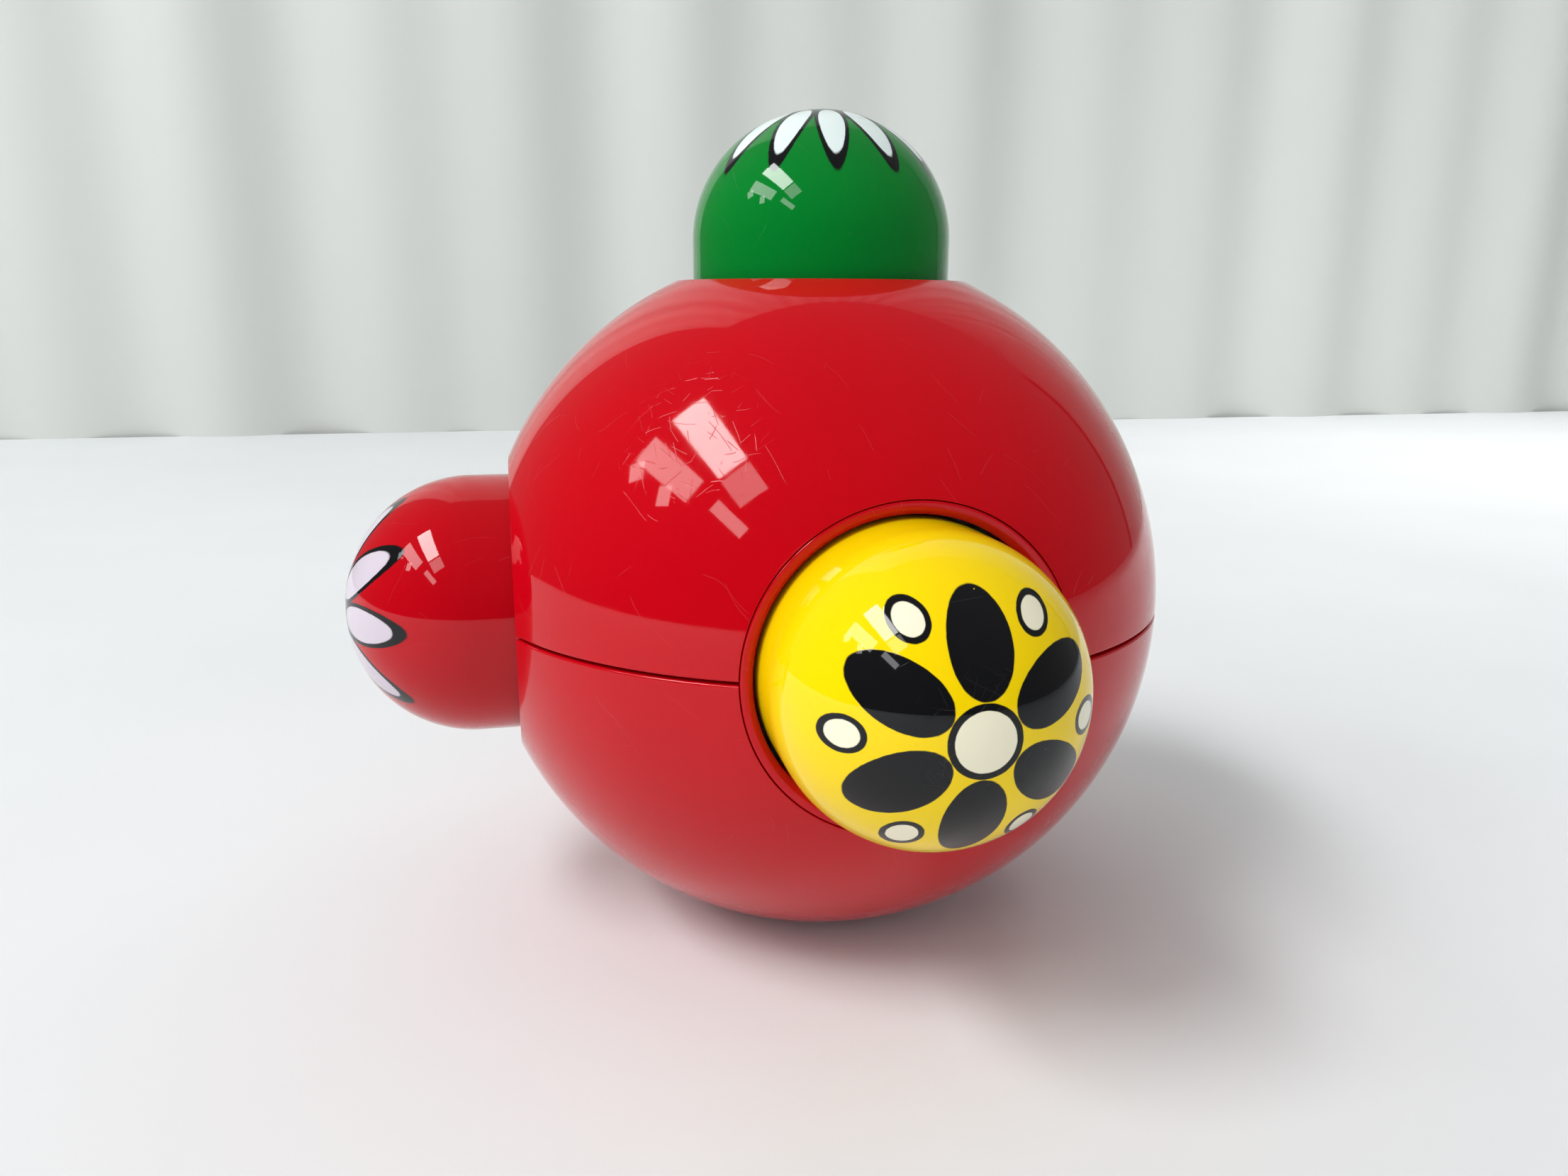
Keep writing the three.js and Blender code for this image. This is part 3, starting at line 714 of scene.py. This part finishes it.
def printed(material, base, layers):
    """Prints inks on a head, one over another. A layer is a ring of ovals, a border round them and an ink."""
    tree = material.node_tree
    place = millimetres(tree)
    wavering = reckon(tree, "MULTIPLY", reckon(tree, "SUBTRACT", noise(tree, place, 1.1, 2.0), 0.5), 0.10)
    colour = base
    inked = 0.0
    for ring, border, ink in layers:
        depth = reckon(tree, "ADD", oval_ring(tree, *ring), wavering)
        mask = soft_step(tree, depth, -border - INK_SOFTNESS, -border + INK_SOFTNESS)
        colour = mixed(tree, mask, colour, ink)
        inked = reckon(tree, "MAXIMUM", mask, inked)
    chips = reckon(tree, "MULTIPLY", soft_step(tree, noise(tree, place, 1.3, 2.0), 0.775, 0.79), 0.8)
    finish = tree.nodes["finish"]
    tree.links.new(mixed(tree, chips, colour, base), finish.inputs["Colour"])
    film = put(tree, "ShaderNodeBump", {"Strength": 0.5, "Distance": BUMP_METRES, "Height": inked})
    tree.links.new(finish.outputs["Normal"], film.inputs["Normal"])
    tree.links.new(film.outputs[0], tree.nodes["Principled BSDF"].inputs["Normal"])


tip = (0.0, 0.0, HEAD_SHOULDER + DOME_HEIGHT)
green_print = gloss_plastic("green_printed", HEAD_GREEN, 0.03, 0.25, tip, 6.0, 0.25)
printed(
    green_print,
    HEAD_GREEN,
    [
        ((12, -97, 10.0, 4.9, 1.7), 0.5, INK_BLACK),
        ((12, -97, 10.0, 4.9, 1.7), 0.0, INK_WHITE),
        ((1, 0, 0.0, 3.2, 3.2), 0.65, INK_BLACK),
        ((1, 0, 0.0, 3.2, 3.2), 0.0, INK_WHITE),
    ],
)
yellow_print = gloss_plastic("yellow_printed", HEAD_YELLOW, 0.03, 0.25, tip, 6.0, 0.3)
printed(
    yellow_print,
    HEAD_YELLOW,
    [
        ((6, 30, 9.4, 5.3, 3.5), 0.0, INK_BLACK),
        ((6, 0, 13.4, 1.5, 1.5), 0.6, INK_BLACK),
        ((6, 0, 13.4, 1.5, 1.5), 0.0, INK_CREAM),
        ((1, 0, 0.0, 3.3, 3.3), 0.75, INK_BLACK),
        ((1, 0, 0.0, 3.3, 3.3), 0.0, INK_CREAM),
    ],
)
red_print = gloss_plastic("red_printed", HEAD_RED, 0.03, 0.25, tip, 6.0, 0.25)
printed(
    red_print,
    HEAD_RED,
    [
        ((9, -90, 9.8, 5.2, 2.3), 0.55, INK_BLACK),
        ((9, -90, 9.8, 5.2, 2.3), 0.0, INK_LILAC),
        ((1, 0, 0.0, 2.7, 2.7), 0.7, INK_BLACK),
        ((1, 0, 0.0, 2.7, 2.7), 0.0, INK_LILAC),
    ],
)
head_outline = dome(HEAD_RADIUS - HEAD_WALL, DOME_HEIGHT - HEAD_WALL, DOME_STEPS // 2)[::-1]
head_outline += [(HEAD_RADIUS - HEAD_WALL, SKIRT_END), (HEAD_RADIUS, SKIRT_END)]
head_outline += dome(HEAD_RADIUS, DOME_HEIGHT, DOME_STEPS)
for way, hue, colour, print_finish in (
    ("top", "green", HEAD_GREEN, green_print),
    ("front", "yellow", HEAD_YELLOW, yellow_print),
    ("side", "red", HEAD_RED, red_print),
):
    head = turned(hue + "_dome", softened(head_outline, HEAD_ROUND), SHELL_SIDES)
    finished(head)
    fixed(head, way, print_finish, hue + "_slider", hue + "_head")
    head.data.materials.append(gloss_plastic(hue + "_inside", colour, 0.22, 0.2))
    for face in head.data.polygons:
        outward = Vector((face.center.x, face.center.y, max(face.center.z - HEAD_SHOULDER * MM, 0.0)))
        if outward.dot(face.normal) < 0 or face.center.z < (SKIRT_END + SKIRT_EDGE) * MM:
            face.material_index = 1

# Collars
# Three red bushes, moulded apart from the shells and caught behind their openings. Each has a rounded
# lip level with the ball, a mouth that slopes in, and a long sleeve in which a head slides.
RUNNING_GAP = 0.5
COLLAR_LIP = 1.7
SLEEVE_WALL = 2.1
FLANGE_WIDTH = 3.4
BORE_RADIUS = HEAD_RADIUS + RUNNING_GAP
NOSE_RADIUS = BORE_RADIUS + COLLAR_LIP
SLEEVE_RADIUS = BORE_RADIUS + SLEEVE_WALL
FLANGE_RADIUS = NOSE_RADIUS + FLANGE_WIDTH
LIP_HEIGHT = on_sphere(BALL_RADIUS, NOSE_RADIUS)
LIP_DROP = 0.1
MOUTH_WIDTH = 0.75
MOUTH_DEPTH = 1.0
SLEEVE_END = 31.6
COLLAR_ROUND = 0.3
COLLAR_RED = (0.55, 0.001, 0.008, 1.0)
collar_outline = [
    (BORE_RADIUS, SLEEVE_END),
    (SLEEVE_RADIUS, SLEEVE_END),
    (SLEEVE_RADIUS, FLANGE_BACK),
    (FLANGE_RADIUS, FLANGE_BACK),
    (FLANGE_RADIUS, on_sphere(INNER_RADIUS, FLANGE_RADIUS) - STOP_GAP),
    (NOSE_RADIUS, on_sphere(INNER_RADIUS, NOSE_RADIUS) - STOP_GAP),
    (NOSE_RADIUS, LIP_HEIGHT - LIP_DROP / 2),
    (BORE_RADIUS + MOUTH_WIDTH, LIP_HEIGHT - LIP_DROP),
    (BORE_RADIUS, LIP_HEIGHT - MOUTH_DEPTH),
]
collar_red = gloss_plastic("collar_red", COLLAR_RED, 0.08, 0.5)
for way in ("top", "front", "side"):
    collar = turned(way + "_bush", softened(collar_outline, COLLAR_ROUND, steps=5), SHELL_SIDES)
    finished(collar)
    fixed(collar, way, collar_red, "ball", way + "_collar")

# Upper shell
# The top half of the ball, in the same red ABS as the lower. It drops over the lower shell's tongue, with a
# fine gap that shows as a dark seam. It has the round hole for the top collar and half of the other openings.
REBATE_RADIUS = TONGUE_RADIUS + FIT_GAP
CROWN_TOP = 48.0
CROWN_BACK = 45.0
upper_outline = [(REBATE_RADIUS, SEAM_GAP / 2)] + arc(BALL_RADIUS, SEAM_GAP / 2, CROWN_TOP, 56)
upper_outline += [(0.0, CROWN_TOP), (0.0, CROWN_BACK)]
upper_outline += arc(INNER_RADIUS, CROWN_BACK, TONGUE_HEIGHT + FIT_GAP, 30)
upper_outline += [(REBATE_RADIUS, TONGUE_HEIGHT + FIT_GAP)]
upper_shell = turned("upper_shell_skin", softened(upper_outline, SEAM_ROUND), SHELL_SIDES)
for way, angles in (("top", (0, 90, 180, 270)), ("front", (30, 150)), ("side", (60, 300))):
    shaped(upper_shell, opening_tool(way), "DIFFERENCE")
    for degrees in angles:
        shaped(upper_shell, catch(way, degrees), "UNION")
finished(upper_shell, ((BALL_RADIUS, 1), (INNER_RADIUS, -1)))
fixed(upper_shell, "top", shell_red, "ball", "upper_shell")

# Floor and walls
# A white sheet on a table with pale curtains behind it, and a pale screen round the other sides. The screen
# and the left curtain stay out of the gloss, so that the ball mirrors a dim room. All of this is the stage.
FLOOR_WHITE = (0.82, 0.84, 0.855, 1.0)
WALL_GREY = (0.66, 0.68, 0.65, 1.0)
STAGE_REACH = 2.0
STAGE_FOOT = -0.1
CURTAIN_BACK = 0.7
CURTAIN_TOP = 1.6
FOLD_STEP = 0.0125
SCREEN_RADIUS = 1.95
SCREEN_TOP = 1.5


def pale_sheet(name, corners, faces, colour, clouding, folds=1.0):
    """A sheet with a matt finish that is slightly uneven, drawn out upwards where it hangs in folds."""
    sheet = as_object(name, corners, faces)
    matt = bpy.data.materials.new(name + "_matt")
    matt.use_nodes = True
    tree = matt.node_tree
    place = vectors(tree, "MULTIPLY", millimetres(tree), (1.0, 1.0, folds))
    cloud = noise(tree, place, clouding, 4.0)
    value = spread(tree, cloud, 0.96, 1.04)
    tint = put(tree, "ShaderNodeHueSaturation", {"Color": colour, "Value": value}).outputs[0]
    shader = tree.nodes["Principled BSDF"]
    tree.links.new(tint, shader.inputs["Base Color"])
    tree.links.new(spread(tree, cloud, 0.6, 0.8), shader.inputs["Roughness"])
    sheet.data.materials.append(matt)
    return sheet


floor_corners = [(-STAGE_REACH, -STAGE_REACH, 0.0), (STAGE_REACH, -STAGE_REACH, 0.0)]
floor_corners += [(STAGE_REACH, CURTAIN_BACK, 0.0), (-STAGE_REACH, CURTAIN_BACK, 0.0)]
pale_sheet("floor", floor_corners, [(0, 1, 2, 3)], FLOOR_WHITE, 0.01)
for name, first, steps in (("left_curtain", -STAGE_REACH, 126), ("right_curtain", -0.425, 194)):
    curtain_corners = []
    for i in range(steps + 1):
        across = first + i * FOLD_STEP
        narrow_fold = 0.004 * math.sin(across * 61.0)
        broad_fold = 0.003 * math.sin(across * 37.0 + 1.0)
        depth = CURTAIN_BACK + narrow_fold + broad_fold
        curtain_corners += [(across, depth, STAGE_FOOT), (across, depth, CURTAIN_TOP)]
    curtain_faces = [(i, i + 2, i + 3, i + 1) for i in range(0, len(curtain_corners) - 2, 2)]
    curtain = pale_sheet(name, curtain_corners, curtain_faces, WALL_GREY, 0.012, 0.03)
    curtain.data.shade_smooth()
    curtain.visible_glossy = name != "left_curtain"
screen_corners = []
for degrees in range(-210, 31, 10):
    across = SCREEN_RADIUS * math.cos(math.radians(degrees))
    along = SCREEN_RADIUS * math.sin(math.radians(degrees))
    screen_corners += [(across, along, STAGE_FOOT), (across, along, SCREEN_TOP)]
screen_faces = [(i, i + 1, i + 3, i + 2) for i in range(0, len(screen_corners) - 2, 2)]
screen = pale_sheet("screen", screen_corners, screen_faces, FLOOR_WHITE, 0.01)
screen.visible_glossy = False

# Light
# A window at the upper left, which shows in the gloss as panes of unlike brightness with bars between
# them. A ceiling lamp and a lamp over the far right of the floor stay out of the gloss.
# A pane has its bearing from the front, its rise and its lean in degrees, its size and its power.
WINDOW_DISTANCE = 2.0
WINDOW_PANES = (
    ("upper_pane", -70, 52, -19, (0.97, 0.35), 20.5),
    ("end_pane", -44, 42, -39, (0.37, 0.35), 1.9),
    ("lower_pane", -77, 39, -9, (0.85, 0.28), 5.6),
    ("low_end_pane", -46, 31, -30, (0.47, 0.14), 1.3),
    ("sky_between_roofs", -73, 32, 19, (0.15, 0.20), 0.7),
    ("sky_beside_roof", -89, 34, 41, (0.17, 0.18), 0.7),
)


def area_lamp(name, size, power):
    """A flat lamp that shines down until it is placed."""
    light = bpy.data.lights.new(name, "AREA")
    light.shape = "RECTANGLE"
    light.size, light.size_y = size
    light.energy = power
    lamp = bpy.data.objects.new(name, light)
    bpy.context.collection.objects.link(lamp)
    return lamp


for name, bearing, rise, lean, size, power in WINDOW_PANES:
    place = Matrix.Translation((0.0, 0.0, CENTRE_HEIGHT * MM))
    place = place @ Matrix.Rotation(math.radians(bearing), 4, "Z")
    place = place @ Matrix.Rotation(math.radians(90 - rise), 4, "X")
    place = place @ Matrix.Translation((0.0, 0.0, WINDOW_DISTANCE))
    area_lamp(name, size, power).matrix_world = place @ Matrix.Rotation(math.radians(lean), 4, "Z")
ceiling = area_lamp("ceiling", (1.8, 1.8), 2.8)
ceiling.location = (-0.1, -0.3, 1.65)
ceiling.visible_glossy = False
floor_glow = area_lamp("floor_glow", (0.5, 0.5), 1.2)
floor_glow.data.spread = math.radians(90)
floor_glow.location = (0.66, 0.34, 0.75)
floor_glow.visible_glossy = False
room = bpy.data.worlds.new("room")
room.use_nodes = True
bpy.context.scene.world = room
tree = room.node_tree
way_out = put(tree, "ShaderNodeTexCoord", {}).outputs["Generated"]
BRIGHT_SIDE = (0.45, 0.65, 0.61)
facing = vectors(tree, "DOT_PRODUCT", way_out, BRIGHT_SIDE)
facing = put(tree, "ShaderNodeMapRange", {"Value": facing, "From Min": -0.6, "From Max": 1.0}).outputs[0]
tree.links.new(spread(tree, facing, 0.04, 0.25), tree.nodes["Background"].inputs["Strength"])
tree.nodes["Background"].inputs["Color"].default_value = (1.0, 1.0, 1.0, 1.0)

# Camera
# A wide lens close to the ball, above its middle and to the left of the yellow head, so that the side head
# points away to the left and the top head stands up against the curtain.
view = bpy.data.cameras.new("view")
view.sensor_fit = "HORIZONTAL"
view.sensor_width = 36.0
view.lens = 27.13
view.clip_start = 0.005
camera = bpy.data.objects.new("view", view)
camera.location = (-0.0442, -0.1720, 0.0898)
camera.rotation_euler = [math.radians(angle) for angle in (76.43, -0.26, -12.72)]
bpy.context.collection.objects.link(camera)
bpy.context.scene.camera = camera
bpy.context.scene.view_settings.view_transform = "Standard"
